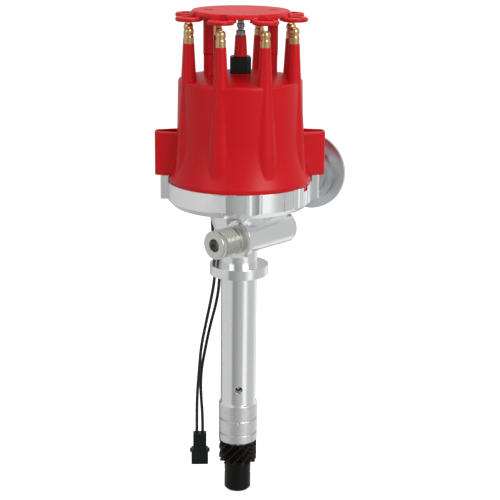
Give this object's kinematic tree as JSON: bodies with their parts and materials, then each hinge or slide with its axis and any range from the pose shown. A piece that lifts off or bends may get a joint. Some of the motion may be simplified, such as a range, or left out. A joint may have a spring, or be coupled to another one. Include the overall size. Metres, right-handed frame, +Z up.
{
  "type": "ignition distributor",
  "caption": "Gear-driven ignition distributor with tall cap, lead retainer, centrifugal and vacuum advance, magnetic pickup and side drive for a tachometer cable.",
  "frame": {"origin": "centre of the lower face of the hold-down flange, on the shaft axis", "axes": "+Z up along the shaft axis towards the cap, +X and -X through the two cap screws, -Y to the front, on the side of the tachometer fitting"},
  "size_m": [0.1598, 0.1426, 0.4078],
  "materials": {
    "red_plastic": "moulded thermoplastic, satin gloss",
    "black_plastic": "moulded, satin",
    "rotor_plastic": "moulded, satin gloss",
    "billet": "turned and milled bright",
    "bright_steel": "ground",
    "zinc_steel": "zinc plated, slightly green",
    "plated_sheet": "pressed sheet steel, bright zinc",
    "black_iron": "cut and blackened",
    "dark_steel": "dark",
    "brass": "turned",
    "bronze": "sintered, oiled",
    "rubber": "moulded",
    "wire_cover": "extruded insulation, satin",
    "carbon": "pressed carbon"
  },
  "bodies": {
    "root": {"housing": "billet", "lower_bushing": "bronze", "upper_bearing_outer": "bright_steel", "tach_rear_bushing": "bronze", "tach_fitting": "zinc_steel", "cap": "red_plastic", "cap_screws": "zinc_steel", "vent_collar": "black_plastic", "coil_terminal": "dark_steel", "button_spring": "bright_steel", "wire_retainer": "red_plastic", "retainer_screws": "dark_steel", "plate_snap_ring": "bright_steel", "vacuum_front_shell": "plated_sheet", "vacuum_rear_shell": "plated_sheet", "vacuum_bracket": "plated_sheet", "bracket_screws": "zinc_steel", "vacuum_spring": "bright_steel", "lead_grommet": "rubber", "lead_wire_left": "wire_cover", "lead_wire_right": "wire_cover", "connector_housing": "black_plastic", "connector_pins": "brass", "plug_terminal_1": "brass", "plug_terminal_2": "brass", "plug_terminal_3": "brass", "plug_terminal_4": "brass", "plug_terminal_5": "brass", "plug_terminal_6": "brass", "plug_terminal_7": "brass", "plug_terminal_8": "brass"},
    "shaft": {"shaft": "bright_steel", "drive_gear": "black_iron", "gear_roll_pin": "dark_steel", "thrust_washer": "bright_steel", "tach_drive_gear": "bright_steel", "upper_bearing_inner": "bright_steel", "advance_cam": "bright_steel", "cam_screw": "dark_steel"},
    "advance_head": {"advance_sleeve": "bright_steel", "reluctor": "dark_steel", "stop_bushing": "brass", "stop_nut": "zinc_steel", "rotor": "rotor_plastic", "rotor_blade": "brass", "rotor_screws": "zinc_steel", "advance_springs": "bright_steel"},
    "weight_1": {"advance_weight_1": "bright_steel"},
    "weight_2": {"advance_weight_2": "bright_steel"},
    "plate": {"pickup_plate": "plated_sheet", "pickup": "black_plastic", "pickup_screws": "zinc_steel"},
    "rod": {"vacuum_rod": "bright_steel", "vacuum_diaphragm": "rubber"},
    "button": {"carbon_button": "carbon"},
    "tach": {"tach_driven_gear": "dark_steel"}
  },
  "joints": [
    {"name": "shaft_spin", "type": "hinge", "parent": "root", "child": "shaft", "pos_m": [0, 0, 0], "axis": [0, 0, 1], "continuous": true},
    {"name": "tach_spin", "type": "hinge", "parent": "root", "child": "tach", "pos_m": [0.01061, -0.01061, 0.035], "axis": [-0.7071, -0.7071, 0], "continuous": true},
    {"name": "mechanical_advance", "type": "hinge", "parent": "shaft", "child": "advance_head", "pos_m": [0, 0, 0.081], "axis": [0, 0, 1], "range_deg": [-10, 0], "stiffness_Nm_per_rad": 0.3, "deforming": ["advance_springs"]},
    {"name": "weight_1_swing", "type": "hinge", "parent": "advance_head", "child": "weight_1", "pos_m": [0.024, 0, 0.0925], "axis": [0, 0, 1], "range_deg": [-16, 0]},
    {"name": "weight_2_swing", "type": "hinge", "parent": "advance_head", "child": "weight_2", "pos_m": [-0.024, 0, 0.0925], "axis": [0, 0, 1], "range_deg": [-16, 0]},
    {"name": "vacuum_advance", "type": "hinge", "parent": "root", "child": "plate", "pos_m": [0, 0, 0.07], "axis": [0, 0, 1], "range_deg": [0, 10]},
    {"name": "vacuum_rod_slide", "type": "slide", "parent": "root", "child": "rod", "axis": [0.4772, 0.8788, 0], "range_m": [0, 0.0048], "deforming": ["vacuum_spring"]},
    {"name": "button_travel", "type": "slide", "parent": "root", "child": "button", "axis": [0, 0, 1], "range_m": [0, 0.0015], "stiffness_N_per_m": 300, "deforming": ["button_spring"]}
  ],
  "couplings": [
    {"joint": "tach_spin", "follows": "shaft_spin", "ratio": 1},
    {"joint": "weight_1_swing", "follows": "mechanical_advance", "ratio": 1.6},
    {"joint": "weight_2_swing", "follows": "mechanical_advance", "ratio": 1.6},
    {"joint": "vacuum_rod_slide", "follows": "vacuum_advance", "m_per_rad": 0.027066}
  ]
}
